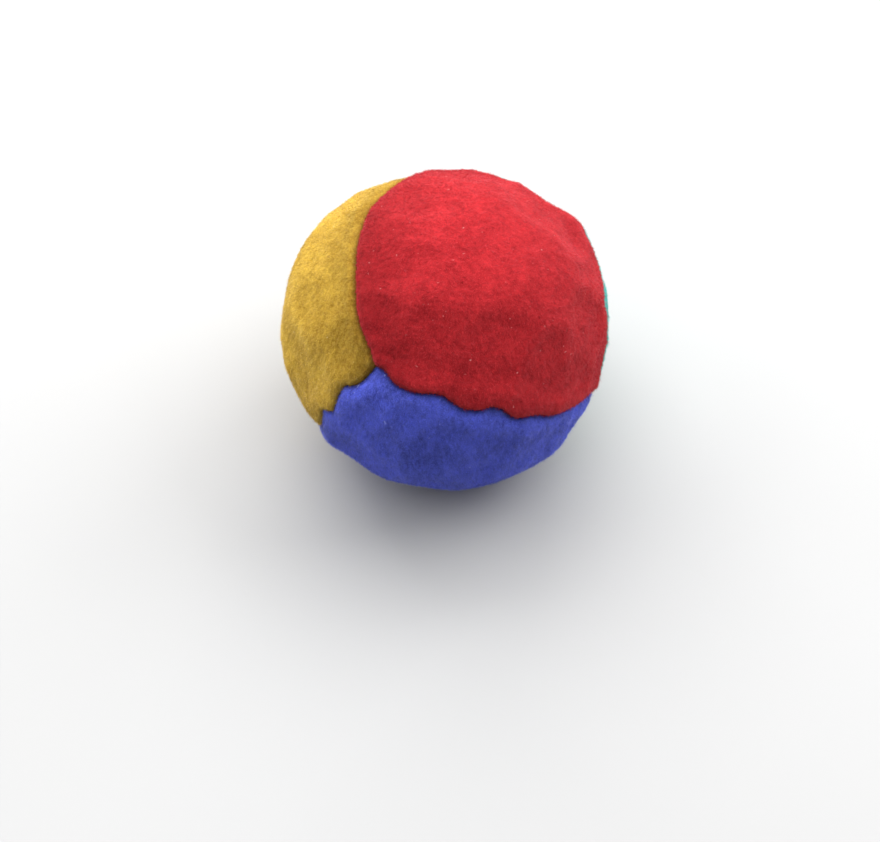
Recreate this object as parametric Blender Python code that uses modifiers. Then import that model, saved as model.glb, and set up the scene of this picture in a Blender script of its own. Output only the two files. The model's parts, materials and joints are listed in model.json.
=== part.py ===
"""A four-panel suede juggling ball, built the way it is sewn.

Four rounded triangles of suede make the cover. Each one turns its edges inwards as a seam
allowance, and a running stitch through needle holes joins the allowances of two neighbours.
Inside lie a thin cotton bag, drawn shut at its neck, and the grain that fills it.

Metres, +Z up. The origin is under the middle of the flat patch that the ball settles on.
"""

import math

import bmesh
import bpy
from mathutils import Matrix, Vector

MM = 0.001

# The whole ball
BALL_RADIUS = 65.0 * MM / 2
REST_PATCH_RADIUS = 11.0 * MM  # the loose grain settles until the ball stands on a flat this wide
TOUCH_GAP = 0.3 * MM  # left between pieces that would touch

# The suede cover
SUEDE = 1.2 * MM
ALLOWANCE = 4.2 * MM  # how far a turned-in edge reaches below the skin
FOLD = 1.3 * MM  # radius of the fold between skin and allowance
PANEL_CUTS = 4  # each cut halves a panel's edges: 16 lengths a seam
EVEN_ROUNDS = 12

# The sewing
THREAD_RADIUS = 0.35 * MM
KNOT_SWELL = 1.9  # a knot's radius over the thread's
HOLE_RADIUS = 0.75 * MM
HOLE_SIDES = 6
STITCH_DEPTH = 2.5 * MM
SEAM_END = 4.5 * MM  # from a corner to the first needle hole
MACHINE_HOLES = 10
CLOSING_HOLES = 12

# The cotton bag and its grain: depths below the skin
COTTON = 0.4 * MM
BAG_DEPTH = 1.8 * MM
BAG_UNDER_SEAM = 4.9 * MM
FILL_DEPTH = 3.0 * MM
FILL_UNDER_SEAM = 6.1 * MM
SEAM_ROOM = (2.6 * MM, 4.2 * MM)  # half width of a seam's channel in the bag, at its floor and brim
FILL_EASE = 0.7 * MM
TIE_RADIUS = 0.4 * MM

# The bag's neck stands in a dimple: (radius, depth below the skin) from the brim to the frill
NECK = (
    (4.3 * MM, 2.4 * MM),
    (3.9 * MM, 5.0 * MM),
    (2.3 * MM, 5.2 * MM),
    (1.7 * MM, 3.9 * MM),
    (2.4 * MM, 2.4 * MM),
)
THROAT = NECK[3]
NECK_OPENING = 6.5 * MM

# The corners where three panels meet: compass bearing from +X and height, in degrees
CORNERS = {
    "red_ochre_blue": (-124.0, 37.0),
    "red_blue_teal": (-20.0, -8.0),
    "red_ochre_teal": (92.0, 27.0),
    "ochre_blue_teal": (175.0, -62.0),
}
PANELS = ("red", "ochre", "blue", "teal")
# How far the first panel of a pair bulges into the second at the middle of their seam, or gives way
SEAMS = {
    ("red", "ochre"): 2.6 * MM,
    ("red", "blue"): 0.9 * MM,
    ("red", "teal"): -2.6 * MM,
    ("ochre", "teal"): 0.0,
    ("blue", "teal"): 0.0,
    ("ochre", "blue"): 0.6 * MM,
}
BULGE_WIDTH = math.radians(30.0)
CLOSING_SEAM = ("ochre", "blue")

REST_SLACK = 0.1 * MM  # a panel's points this close to the rest plane are pressed onto it
REST_HEIGHT = math.sqrt(BALL_RADIUS**2 - REST_PATCH_RADIUS**2)  # of the ball's centre
PANEL_SHIFT = TOUCH_GAP / 2 / math.sqrt(2 / 3)  # moves a panel clear of its three neighbours
SHARP = math.radians(40.0)

FINISHES = {  # colour, roughness
    "suede_red": ((0.50, 0.035, 0.045, 1.0), 0.9),
    "suede_ochre": ((0.66, 0.38, 0.06, 1.0), 0.9),
    "suede_blue": ((0.055, 0.07, 0.32, 1.0), 0.9),
    "suede_teal": ((0.07, 0.45, 0.41, 1.0), 0.9),
    "thread": ((0.10, 0.03, 0.04, 1.0), 0.6),
    "closing_thread": ((0.05, 0.06, 0.20, 1.0), 0.6),
    "cotton": ((0.80, 0.76, 0.66, 1.0), 0.85),
    "millet": ((0.76, 0.58, 0.26, 1.0), 0.7),
}


# ---------------------------------------------------------------- scene


def clear_scene():
    for item in list(bpy.data.objects):
        bpy.data.objects.remove(item, do_unlink=True)


def new_collection(name):
    collection = bpy.data.collections.new(name)
    bpy.context.scene.collection.children.link(collection)
    return collection


def finish(name):
    colour, roughness = FINISHES[name]
    material = bpy.data.materials.new(name)
    material.use_nodes = True
    shader = material.node_tree.nodes["Principled BSDF"]
    shader.inputs["Base Color"].default_value = colour
    shader.inputs["Roughness"].default_value = roughness
    shader.inputs["Metallic"].default_value = 0.0
    return material


def add_object(name, data, collection, centre, material=None):
    """Adds a piece whose shape is given about the ball's centre."""
    item = bpy.data.objects.new(name, data)
    item.parent = centre
    if material:
        data.materials.clear()
        data.materials.append(material)
    collection.objects.link(item)
    return item


def mesh_from(bm, name):
    mesh = bpy.data.meshes.new(name)
    bm.to_mesh(mesh)
    bm.free()
    mesh.shade_smooth()
    mesh.set_sharp_from_angle(angle=SHARP)
    return mesh


# ---------------------------------------------------------------- layout of the panels


def corner_direction(name):
    bearing, height = (math.radians(angle) for angle in CORNERS[name])
    flat = math.cos(height)
    return Vector((flat * math.cos(bearing), flat * math.sin(bearing), math.sin(height)))


def seam_ends(pair):
    names = [name for name in CORNERS if set(pair) <= set(name.split("_"))]
    return [corner_direction(name) for name in names]


def panel_centre(colour):
    corners = [corner_direction(name) for name in CORNERS if colour in name.split("_")]
    return sum(corners, Vector()).normalized()


def bulge(direction):
    """Moves a direction by the seams' bulges, which fade with distance from each seam's middle."""
    moved = direction.copy()
    for (first, second), amount in SEAMS.items():
        start, end = seam_ends((first, second))
        middle = (start + end).normalized()
        across = start.cross(end).normalized()
        if across.dot(panel_centre(second)) < 0:
            across.negate()
        fade = math.exp(-((direction.angle(middle) / BULGE_WIDTH) ** 2))
        moved += across * (amount / BALL_RADIUS * fade)
    return moved.normalized()


def skin_radius(direction, depth=0.0, rest_height=REST_HEIGHT):
    """Distance from the centre to the layer at a depth, with the underside pressed flat."""
    radius = BALL_RADIUS - depth
    if direction.z * radius < depth - rest_height:
        radius = (depth - rest_height) / direction.z
    return radius


def panelled_sphere(cuts):
    """The unit sphere, cut into the four panels: a face's material index is its panel's."""
    bm = bmesh.new()
    bmesh.ops.create_cone(bm, cap_ends=True, segments=3, radius1=1, radius2=0, depth=1)
    names = list(CORNERS)
    for vert, name in zip(bm.verts, names):
        vert.co = corner_direction(name)
    bm.verts.index_update()
    for face in bm.faces:
        shared = set(PANELS)
        for vert in face.verts:
            shared &= set(names[vert.index].split("_"))
        face.material_index = PANELS.index(shared.pop())
    bmesh.ops.recalc_face_normals(bm, faces=bm.faces[:])
    for _ in range(cuts):
        bmesh.ops.subdivide_edges(bm, edges=bm.edges[:], cuts=1, use_grid_fill=True)
        even_out(bm, [v for v in bm.verts if len({f.material_index for f in v.link_faces}) == 1])
    return bm


def even_out(bm, verts):
    """Spreads some of a unit sphere's points evenly between their neighbours."""
    for _ in range(EVEN_ROUNDS):
        bmesh.ops.smooth_vert(
            bm, verts=verts, factor=0.5, use_axis_x=True, use_axis_y=True, use_axis_z=True
        )
        for vert in bm.verts:
            vert.co.normalize()


# ---------------------------------------------------------------- seams


def seam_frame(pair, share, depth):
    """Place, direction along, and direction across at a share of the way along a seam."""

    def direction(at):
        start, end = seam_ends(pair)
        return bulge(start.slerp(end, min(max(at, 0.0), 1.0)))

    out = direction(share)
    along = (direction(share + 0.01) - direction(share - 0.01)).normalized()
    return out * (skin_radius(out) - depth), along, along.cross(out).normalized()


def seam_length(pair):
    start, end = seam_ends(pair)
    return start.angle(end) * BALL_RADIUS


def hole_shares(pair):
    count = CLOSING_HOLES if pair == CLOSING_SEAM else MACHINE_HOLES
    margin = SEAM_END / seam_length(pair)
    return [margin + (1 - 2 * margin) * k / (count - 1) for k in range(count)]


def make_hole_cutter(pair, collection, centre):
    bm = bmesh.new()
    for share in hole_shares(pair):
        place, along, across = seam_frame(pair, share, STITCH_DEPTH)
        turn = Matrix((along, across.cross(along), across)).transposed().to_4x4()
        bmesh.ops.create_cone(
            bm,
            cap_ends=True,
            segments=HOLE_SIDES,
            radius1=HOLE_RADIUS,
            radius2=HOLE_RADIUS,
            depth=2 * (TOUCH_GAP + 2 * SUEDE),
            matrix=Matrix.Translation(place) @ turn,
        )
    name = "needle_holes_" + "_".join(pair)
    cutter = add_object(name, mesh_from(bm, name), collection, centre)
    cutter.hide_render = True
    cutter.display_type = "WIRE"
    return cutter


def stitch_route(pair):
    """Points (share along, distance across, radius) of a running stitch with a knot at each end."""
    lay = TOUCH_GAP / 2 + SUEDE + TOUCH_GAP + THREAD_RADIUS
    turn = 1.6 * THREAD_RADIUS
    step = turn / seam_length(pair)
    knot_lay = lay + (KNOT_SWELL - 1) * THREAD_RADIUS
    shares = hole_shares(pair)
    points = [(shares[0] - 3.6 * step, knot_lay, 0.6), (shares[0] - 3.0 * step, knot_lay, KNOT_SWELL)]
    points.append((shares[0] - 1.9 * step, knot_lay, KNOT_SWELL))
    side = 1
    for share in shares:
        points.append((share - step, side * lay, 1.0))
        points.append((share, side * (lay - turn), 1.0))
        points.append((share, -side * (lay - turn), 1.0))
        points.append((share + step, -side * lay, 1.0))
        side = -side
    last = shares[-1]
    points.append((last + 1.9 * step, side * knot_lay, KNOT_SWELL))
    points.append((last + 3.0 * step, side * knot_lay, KNOT_SWELL))
    points.append((last + 3.6 * step, side * knot_lay, 0.6))
    return points


def make_thread(name, pair, collection, centre, material):
    curve = bpy.data.curves.new(name, "CURVE")
    curve.dimensions = "3D"
    curve.bevel_depth = THREAD_RADIUS
    curve.bevel_resolution = 1
    curve.use_fill_caps = True
    route = stitch_route(pair)
    spline = curve.splines.new("POLY")
    spline.points.add(len(route) - 1)
    for point, (share, offset, swell) in zip(spline.points, route):
        place, _, across = seam_frame(pair, share, STITCH_DEPTH)
        point.co = (*(place + across * offset), 1.0)
        point.radius = swell
    return add_object(name, curve, collection, centre, material)


# ---------------------------------------------------------------- pieces


def rim_verts(bm):
    return {vert for edge in bm.edges if edge.is_boundary for vert in edge.verts}


def turn_in_edges(bm):
    """Rolls a patch's rim over a rounded fold and on inwards as the seam allowance."""
    rise = FOLD * (1 - math.cos(math.radians(45.0)))
    for width in (rise, FOLD - rise):
        bmesh.ops.inset_region(
            bm, faces=bm.faces[:], thickness=width, use_boundary=True, use_even_offset=True
        )
    edge_verts = rim_verts(bm)
    next_verts = {edge.other_vert(vert) for vert in edge_verts for edge in vert.link_edges}
    for vert in next_verts - edge_verts:
        vert.co -= vert.co.normalized() * rise
    for vert in edge_verts:
        vert.co -= vert.co.normalized() * FOLD
    rim = [edge for edge in bm.edges if edge.is_boundary]
    bmesh.ops.extrude_edge_only(bm, edges=rim)
    for vert in rim_verts(bm):
        vert.co -= vert.co.normalized() * (ALLOWANCE - FOLD)
    bmesh.ops.recalc_face_normals(bm, faces=bm.faces[:])


def make_panel(colour, cutters, collection, centre):
    bm = panelled_sphere(PANEL_CUTS)
    index = PANELS.index(colour)
    others = [face for face in bm.faces if face.material_index != index]
    bmesh.ops.delete(bm, geom=others, context="FACES")
    shift = panel_centre(colour) * PANEL_SHIFT
    for vert in bm.verts:
        out = bulge(vert.co)
        vert.co = out * (skin_radius(out, PANEL_SHIFT, REST_HEIGHT + shift.z + PANEL_SHIFT))
    turn_in_edges(bm)
    for face in bm.faces:
        face.material_index = 0
    bmesh.ops.translate(bm, verts=bm.verts[:], vec=shift)
    for vert in bm.verts:
        if vert.co.z < -REST_HEIGHT + REST_SLACK:
            vert.co.z = -REST_HEIGHT
    name = "panel_" + colour
    panel = add_object(name, mesh_from(bm, name), collection, centre, finish("suede_" + colour))
    wall = panel.modifiers.new("thickness", "SOLIDIFY")
    wall.thickness = SUEDE
    wall.offset = -1.0
    wall.use_even_offset = True
    for pair, cutter in cutters.items():
        if colour in pair:
            holes = panel.modifiers.new(cutter.name, "BOOLEAN")
            holes.operation = "DIFFERENCE"
            holes.solver = "EXACT"
            holes.object = cutter
    return panel


def channelled_sphere(depth, under_seam, room):
    """A closed layer at a depth, sunk into a channel along each seam to clear the sewing."""
    bm = panelled_sphere(2)
    sunk = bm.verts.layers.float.new("depth")
    for vert in bm.verts:
        vert.co = bulge(vert.co)
    seam_verts = {
        vert
        for edge in bm.edges
        if len({face.material_index for face in edge.link_faces}) > 1
        for vert in edge.verts
    }
    for vert in bm.verts:
        vert[sunk] = under_seam
    floor, brim = (width / BALL_RADIUS for width in room)
    for index in range(len(PANELS)):
        inner = [face for face in bm.faces if face.material_index == index]
        for width in (floor, brim - floor):
            before = {vert for face in inner for vert in face.verts}
            bmesh.ops.inset_region(
                bm, faces=inner, thickness=width, use_boundary=True, use_even_offset=True
            )
            after = {vert for face in inner for vert in face.verts}
            for vert in after - before:
                vert[sunk] = under_seam
        for vert in {vert for face in inner for vert in face.verts}:
            vert[sunk] = depth
    across = {
        edge
        for edge in bm.edges
        if (edge.verts[0][sunk] != edge.verts[1][sunk])
        or ((edge.verts[0] in seam_verts) != (edge.verts[1] in seam_verts))
    }
    lengthwise = [edge for edge in bm.edges if edge not in across]
    bmesh.ops.subdivide_edges(bm, edges=lengthwise, cuts=2, use_grid_fill=True)
    plain = [v for v in bm.verts if all(e.other_vert(v)[sunk] == depth for e in v.link_edges)]
    even_out(bm, [vert for vert in plain if vert[sunk] == depth])
    for vert in bm.verts:
        out = vert.co.normalized()
        vert.co = out * skin_radius(out, vert[sunk])
    bmesh.ops.recalc_face_normals(bm, faces=bm.faces[:])
    for face in bm.faces:
        face.material_index = 0
    return bm


def neck_frame():
    """Axis of the bag's neck, at the middle of the ochre panel, and two directions across it."""
    axis = panel_centre("ochre")
    side = axis.cross(Vector((0, 0, 1))).normalized()
    return axis, side, axis.cross(side)


def open_neck(bm):
    """Opens the bag under the ochre panel and gathers the opening into a neck in a dimple."""
    axis, side, up = neck_frame()
    reach = NECK_OPENING / BALL_RADIUS
    middle = [face for face in bm.faces if face.calc_center_median().angle(axis) < reach]
    bmesh.ops.delete(bm, geom=middle, context="FACES")
    bmesh.ops.subdivide_edges(bm, edges=[edge for edge in bm.edges if edge.is_boundary], cuts=1)
    for radius, depth in NECK:
        bmesh.ops.extrude_edge_only(bm, edges=[edge for edge in bm.edges if edge.is_boundary])
        for vert in rim_verts(bm):
            angle = math.atan2(vert.co.dot(up), vert.co.dot(side))
            outward = side * math.cos(angle) + up * math.sin(angle)
            vert.co = axis * (BALL_RADIUS - depth) + outward * radius
    bmesh.ops.recalc_face_normals(bm, faces=bm.faces[:])


def make_liner(collection, centre):
    bm = channelled_sphere(BAG_DEPTH, BAG_UNDER_SEAM, SEAM_ROOM)
    open_neck(bm)
    bag = add_object("liner_bag", mesh_from(bm, "liner_bag"), collection, centre, finish("cotton"))
    wall = bag.modifiers.new("thickness", "SOLIDIFY")
    wall.thickness = COTTON
    wall.offset = -1.0
    wall.use_even_offset = True
    return bag


def make_tie(collection, centre):
    """The drawn thread around the bag's neck."""
    axis, side, up = neck_frame()
    radius, depth = THROAT
    bpy.ops.mesh.primitive_torus_add(
        major_radius=radius + TOUCH_GAP + TIE_RADIUS,
        minor_radius=TIE_RADIUS,
        major_segments=16,
        minor_segments=6,
    )
    made = bpy.context.object
    mesh = made.data
    bpy.data.objects.remove(made, do_unlink=True)
    turn = Matrix((side, up, axis)).transposed().to_4x4()
    mesh.transform(Matrix.Translation(axis * (BALL_RADIUS - depth)) @ turn)
    mesh.shade_smooth()
    return add_object("liner_tie", mesh, collection, centre, finish("thread"))


def make_fill(collection, cutting, centre):
    """One solid in the shape that the grain takes, hollowed around the bag's neck."""
    room = [width + FILL_EASE for width in SEAM_ROOM]
    bm = channelled_sphere(FILL_DEPTH, FILL_UNDER_SEAM, room)
    fill = add_object("millet_fill", mesh_from(bm, "millet_fill"), collection, centre, finish("millet"))

    axis, side, up = neck_frame()
    deepest = max(depth for _, depth in NECK) + COTTON + FILL_EASE
    turn = Matrix((side, up, axis)).transposed().to_4x4()
    bm = bmesh.new()
    bmesh.ops.create_cone(
        bm,
        cap_ends=True,
        segments=16,
        radius1=NECK[0][0] + COTTON + FILL_EASE,
        radius2=NECK[0][0] + COTTON + FILL_EASE,
        depth=2 * deepest,
        matrix=Matrix.Translation(axis * BALL_RADIUS) @ turn,
    )
    cutter = add_object("neck_room", mesh_from(bm, "neck_room"), cutting, centre)
    cutter.hide_render = True
    cutter.display_type = "WIRE"
    hollow = fill.modifiers.new("neck_room", "BOOLEAN")
    hollow.operation = "DIFFERENCE"
    hollow.solver = "EXACT"
    hollow.object = cutter
    return fill


def main():
    clear_scene()
    parts = new_collection("juggling_ball")
    cutting = new_collection("cutters")
    centre = bpy.data.objects.new("ball_centre", None)
    centre.location.z = REST_HEIGHT
    parts.objects.link(centre)

    cutters = {pair: make_hole_cutter(pair, cutting, centre) for pair in SEAMS}
    for colour in PANELS:
        make_panel(colour, cutters, parts, centre)
    for pair in SEAMS:
        name = "_".join(pair)
        if pair == CLOSING_SEAM:
            make_thread("closing_thread_" + name, pair, parts, centre, finish("closing_thread"))
        else:
            make_thread("thread_" + name, pair, parts, centre, finish("thread"))
    make_liner(parts, centre)
    make_tie(parts, centre)
    make_fill(parts, cutting, centre)


main()
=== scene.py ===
"""A suede juggling ball of four sewn panels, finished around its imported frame.

Every direction below is a unit vector from the ball's centre. A panel's cloth is laid out on
directions whose seams are plain arcs; shaped() then bends those arcs to the seams as sewn.
"""

import json
import math

import bmesh
import bpy
import numpy as np
from mathutils import Matrix, Vector, noise

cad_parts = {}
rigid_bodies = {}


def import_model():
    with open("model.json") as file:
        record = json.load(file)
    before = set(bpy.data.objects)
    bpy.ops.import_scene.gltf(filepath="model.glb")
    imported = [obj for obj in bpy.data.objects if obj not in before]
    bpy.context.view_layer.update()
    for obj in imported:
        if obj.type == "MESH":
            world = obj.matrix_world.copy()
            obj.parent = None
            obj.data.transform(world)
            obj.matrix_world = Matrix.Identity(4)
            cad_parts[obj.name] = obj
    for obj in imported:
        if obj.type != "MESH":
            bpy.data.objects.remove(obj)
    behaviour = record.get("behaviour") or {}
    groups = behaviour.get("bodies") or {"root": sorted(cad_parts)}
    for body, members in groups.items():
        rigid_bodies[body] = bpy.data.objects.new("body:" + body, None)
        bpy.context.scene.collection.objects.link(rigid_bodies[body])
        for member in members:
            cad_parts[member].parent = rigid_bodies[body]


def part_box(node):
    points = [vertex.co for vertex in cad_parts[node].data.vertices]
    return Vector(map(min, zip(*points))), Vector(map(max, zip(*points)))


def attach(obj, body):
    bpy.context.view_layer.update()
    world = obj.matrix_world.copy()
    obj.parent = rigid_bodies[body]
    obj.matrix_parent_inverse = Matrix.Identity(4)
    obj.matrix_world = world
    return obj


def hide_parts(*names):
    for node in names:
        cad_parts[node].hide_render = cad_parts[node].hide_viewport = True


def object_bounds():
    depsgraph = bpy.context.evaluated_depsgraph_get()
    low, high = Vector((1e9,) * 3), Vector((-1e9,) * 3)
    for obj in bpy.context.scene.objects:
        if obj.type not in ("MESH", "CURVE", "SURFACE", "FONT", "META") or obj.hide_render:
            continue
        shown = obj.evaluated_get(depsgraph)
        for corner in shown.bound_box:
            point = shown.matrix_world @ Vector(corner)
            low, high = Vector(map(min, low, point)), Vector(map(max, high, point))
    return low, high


bl_info = {
    "name": "Suede Juggling Ball",
    "version": (1, 0, 0),
    "blender": (4, 5, 0),
    "location": "3D View > Sidebar > Juggling Ball",
    "description": "Finishes a four-panel suede juggling ball and its grain-filled liner",
    "category": "Add Mesh",
}

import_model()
CAD_BOX = [list(corner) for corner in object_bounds()]

MM = 0.001
BODY = "root"

# ---------------------------------------------------------------- the ball, from its frame

RADIUS = sum(CAD_BOX[1][axis] - CAD_BOX[0][axis] for axis in (0, 1)) / 4
REST_HEIGHT = CAD_BOX[1][2] - CAD_BOX[0][2] - RADIUS
CENTRE = np.array((0.0, 0.0, CAD_BOX[0][2] + REST_HEIGHT))

PANELS = ("red", "ochre", "blue", "teal")
# The corners where three panels meet: compass bearing from +X and height, in degrees
CORNERS = {
    "red_ochre_blue": (-124.0, 37.0),
    "red_blue_teal": (-20.0, -8.0),
    "red_ochre_teal": (92.0, 27.0),
    "ochre_blue_teal": (175.0, -62.0),
}
SEAM_ANGLE = math.acos(-1 / 3)  # between two corners, if the four stood evenly round the ball
BULGE_WIDTH = math.radians(30.0)
WANDER_SOFTENING = 0.012  # share of a seam over which its kinks are rounded
GAP = 0.06 * MM  # from a panel's edge to its seam

# Each seam: how far the first panel bulges into the second; where it wanders, as (share of the
# way along, distance into the second panel), and how far from it the cloth follows; its small
# scallops, as (height, pitch); how deep a valley it lies in; how far the first and the second
# panel stand proud there; how much painted shade darkens their edges, or if negative how much
# painted highlight brightens them; and how much painted shade darkens them further from the
# seam. Lengths are in millimetres.
SEAM_PLAN = {
    ("red", "ochre"): {
        "bulge": 2.6,
        "wander": ((0, -0.2), (0.06, 0.0), (0.12, 1.1), (0.2, 2.0), (0.34, 1.7), (0.42, 1.75),
                   (0.5, 1.7), (0.58, 2.0), (0.68, 0.9), (0.78, 0.3), (0.9, 0.2), (1, 0.4)),
        "reach": 3.2,
        "scallop": (0.10, 3.4),
        "valley": 0.75,
        "proud": (0.30, -0.10),
        "shade": (-0.65, 0.50),
        "painted_shade": (0.36, 0.50),
    },
    ("red", "blue"): {
        "bulge": 0.9,
        "wander": ((0, -0.4), (0.04, -0.6), (0.1, 1.2), (0.165, 0.75), (0.245, -0.95),
                   (0.335, 0.65), (0.385, 0.1), (0.42, -1.35), (0.46, -1.25), (0.52, 0.8),
                   (0.6, 0.0), (0.67, 0.75), (0.78, 0.5), (0.9, -0.5), (1, 0.2)),
        "reach": 3.2,
        "scallop": (0.12, 3.1),
        "valley": 0.10,
        "proud": (0.55, -0.35),
        "shade": (0.45, 1.0),
        "painted_shade": (0.05, 0.05),
    },
    ("red", "teal"): {
        "bulge": -2.6,
        "wander": ((0, 0.3), (0.05, 0.9), (0.12, 0.9), (0.17, -2.8), (0.26, -4.8), (0.32, -2.0),
                   (0.36, 0.2), (0.42, 0.6), (0.48, -0.7), (0.53, 0.8), (0.57, 0.6),
                   (0.61, -0.8), (0.68, 0.9), (0.78, -0.4), (0.86, 0.8), (0.93, -0.5), (1, 0.2)),
        "reach": 6.5,
        "scallop": (0.14, 3.3),
        "valley": 0.00,
        "proud": (0.1, 0.15),
        "shade": (0.3, 0.8),
        "painted_shade": (0.04, 0.04),
    },
    ("ochre", "teal"): {
        "bulge": 0.0,
        "wander": ((0, 0.2), (0.09, -0.6), (0.2, 0.7), (0.31, -0.5), (0.4, 0.6), (0.52, -0.7),
                   (0.63, 0.4), (0.74, -0.6), (0.87, 0.6), (1, 0.0)),
        "reach": 3.2,
        "scallop": (0.12, 3.3),
        "valley": 0.20,
        "proud": (0.10, 0.0),
        "shade": (0.6, 0.6),
        "painted_shade": (0.04, 0.04),
    },
    ("blue", "teal"): {
        "bulge": 0.0,
        "wander": ((0, 0.0), (0.1, 0.7), (0.19, -0.5), (0.3, 0.5), (0.42, -0.8), (0.5, 0.6),
                   (0.62, -0.4), (0.71, 0.7), (0.84, -0.5), (1, 0.0)),
        "reach": 3.2,
        "scallop": (0.12, 3.2),
        "valley": 0.20,
        "proud": (0.0, 0.12),
        "shade": (0.6, 0.6),
        "painted_shade": (0.04, 0.04),
    },
    ("ochre", "blue"): {
        "bulge": 0.6,
        "wander": ((0, 0.2), (0.05, 0.8), (0.1, 0.75), (0.135, -0.95), (0.175, -0.5), (0.21, 0.1),
                   (0.275, 1.35), (0.31, -0.9), (0.38, 0.1), (0.47, 0.9), (0.53, -0.7),
                   (0.63, 0.6), (0.71, -0.8), (0.83, 0.7), (1, 0.0)),
        "reach": 3.2,
        "scallop": (0.10, 3.0),
        "valley": 0.15,
        "proud": (0.15, -0.05),
        "shade": (0.5, 0.6),
        "painted_shade": (0.04, 0.04),
    },
}
CLOSING_SEAM = ("ochre", "blue")

# Where the filled ball is out of round: bearing and height in degrees, then how far out, or if
# negative how far in, and how wide, in millimetres. The first four are the corners.
SWELLS = [
    (-124.0, 37.0, -0.5, 6.0),
    (-20.0, -8.0, 0.3, 4.0),
    (92.0, 27.0, -0.6, 6.0),
    (175.0, -62.0, -0.6, 6.0),
    (32.0, 22.5, 1.8, 4.2),
    (12.0, 6.0, 0.8, 12.0),
    (21.0, 17.0, 0.6, 3.5),
    (-42.0, -21.0, 0.9, 7.0),
    (66.0, 32.0, -0.5, 4.0),
    (107.0, 33.0, -0.9, 4.5),
    (-166.0, -4.0, 1.4, 7.0),
    (160.0, 16.0, 0.4, 8.0),
    (98.0, 35.0, 0.35, 3.5),
    (-147.0, -15.0, -0.7, 2.2),
    (-140.0, -21.0, 0.7, 4.0),
    (-101.0, -31.0, -0.9, 5.0),
    (-120.0, -27.0, 0.3, 5.0),
    (-157.0, 54.0, -0.4, 7.0),
]
# Soft folds in the cover run the same way all over, and are this many times longer than wide
FOLD_RUN = (0.80, 0.51, 0.32)
FOLD_STRETCH = 3.0

# The sewing, as in the frame
STITCH_DEPTH = 2.5 * MM  # from the skin down to the stitches
SEAM_END = 4.5 * MM  # from a corner to the first hole
MACHINE_HOLES = 10
CLOSING_HOLES = 12
KNOT_SWELL = 1.9  # a knot's thickness, in thread thicknesses
KNOT = ((3.6, 0.6), (3.0, KNOT_SWELL), (1.9, KNOT_SWELL))  # steps past the last hole, thickness
PLIES = 3
PLY_RADIUS, PLY_OFFSET = 0.55, 0.47  # shares of the thread's radius
THREAD_STEP = 0.3 * MM
LINER_SEAM = 8.0 * MM  # what the cover and the bag's own seam take off the width of its discs


def unit(vectors):
    vectors = np.asarray(vectors, dtype=float)
    return vectors / np.linalg.norm(vectors, axis=-1, keepdims=True)


def from_bearing(bearing, height):
    bearing, height = math.radians(bearing), math.radians(height)
    flat = math.cos(height)
    return np.array((flat * math.cos(bearing), flat * math.sin(bearing), math.sin(height)))


def angle_between(vectors, other):
    return np.arccos(np.clip(vectors @ other, -1.0, 1.0))


def panel_centre(colour):
    return unit(sum(from_bearing(*CORNERS[name]) for name in CORNERS if colour in name.split("_")))


class Seam:
    """One seam between two panels, as an arc on the ball and its wandering about that arc."""

    def __init__(self, pair, plan):
        names = [name for name in CORNERS if set(pair) <= set(name.split("_"))]
        self.pair = pair
        self.start, self.end = (from_bearing(*CORNERS[name]) for name in names)
        self.middle = unit(self.start + self.end)
        across = unit(np.cross(self.start, self.end))
        self.across = across * np.sign(across @ panel_centre(pair[1]))
        self.ahead = unit(self.end - self.start * (self.start @ self.end))
        self.angle = math.acos(self.start @ self.end)
        self.length = self.angle * RADIUS
        self.bulge = plan["bulge"] * MM
        self.shares, heights = (np.array(column) for column in zip(*plan["wander"]))
        self.heights = heights * MM
        self.reach = plan["reach"] * MM
        self.scallop = [value * MM for value in plan["scallop"]]
        self.valley = plan["valley"] * MM
        self.proud = [value * MM for value in plan["proud"]]
        # Painted shade at each side's edge (a painted highlight where negative), and painted shade
        # further out
        self.shade = plan["shade"]
        self.painted_shade = plan["painted_shade"]

    def share(self, directions):
        """How far along the seam, from 0 to 1, and how far beyond either end, in metres."""
        turned = np.arctan2(directions @ self.ahead, directions @ self.start)
        beyond = np.maximum(np.maximum(-turned, turned - self.angle), 0.0) * RADIUS
        return np.clip(turned / self.angle, 0.0, 1.0), beyond

    def distance(self, directions):
        """Distance into the second panel, negative in the first."""
        return np.arcsin(np.clip(directions @ self.across, -1.0, 1.0)) * RADIUS

    def wander(self, share):
        soft = [share + step * WANDER_SOFTENING for step in (-1.0, 0.0, 1.0)]
        kinks = sum(np.interp(at, self.shares, self.heights) for at in soft) / len(soft)
        height, pitch = self.scallop
        wave = np.abs(np.sin(math.pi * share * self.length / pitch)) - 2 / math.pi
        return kinks + height * wave

    def nearness(self, directions, reach):
        """1 on the seam, fading to 0 over the reach around it."""
        _, beyond = self.share(directions)
        return np.exp(-((self.distance(directions) / reach) ** 2) - (beyond / reach) ** 2)


SEAMS = [Seam(pair, plan) for pair, plan in SEAM_PLAN.items()]


def shaped(directions):
    """Bends plain directions so that the seams run as they are sewn."""
    moved = directions.copy()
    for seam in SEAMS:
        fade = np.exp(-((angle_between(directions, seam.middle) / BULGE_WIDTH) ** 2))
        moved += np.outer(fade * seam.bulge / RADIUS, seam.across)
    for seam in SEAMS:
        share, _ = seam.share(directions)
        sway = seam.wander(share) * seam.nearness(directions, seam.reach)
        moved += np.outer(sway / RADIUS, seam.across)
    return unit(moved)


def settled(points, depth, softness):
    """Presses the underside flat: a layer at a depth stops that far above the floor."""
    floor = depth - REST_HEIGHT
    lift = (points[:, 2] - floor) / softness
    points[:, 2] = floor + softness * np.logaddexp(0.0, lift)
    return points


# ---------------------------------------------------------------- node trees


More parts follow.
